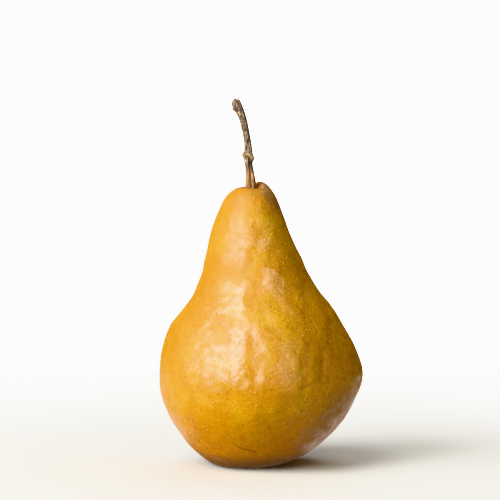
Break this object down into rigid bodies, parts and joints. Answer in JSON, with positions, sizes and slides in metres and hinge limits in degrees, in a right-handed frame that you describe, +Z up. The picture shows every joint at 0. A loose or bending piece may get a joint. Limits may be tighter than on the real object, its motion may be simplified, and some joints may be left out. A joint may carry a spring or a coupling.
{
  "type": "bosc pear",
  "caption": "Whole bosc pear that stands on its base, with a full belly, a long narrow neck, a bent woody stem and a dried calyx underneath.",
  "frame": {"origin": "on the surface that the pear stands on, under the middle of its bounding box", "axes": "+Z up along the fruit, -Y towards the viewer of the picture, +X to the viewer's right"},
  "size_m": [0.074, 0.0706, 0.1325],
  "materials": {
    "skin": "satin",
    "stem_bark": "matte",
    "dried_calyx": "matte"
  },
  "bodies": {
    "root": {"fruit": "skin", "stem": "stem_bark", "calyx": "dried_calyx"}
  },
  "joints": []
}
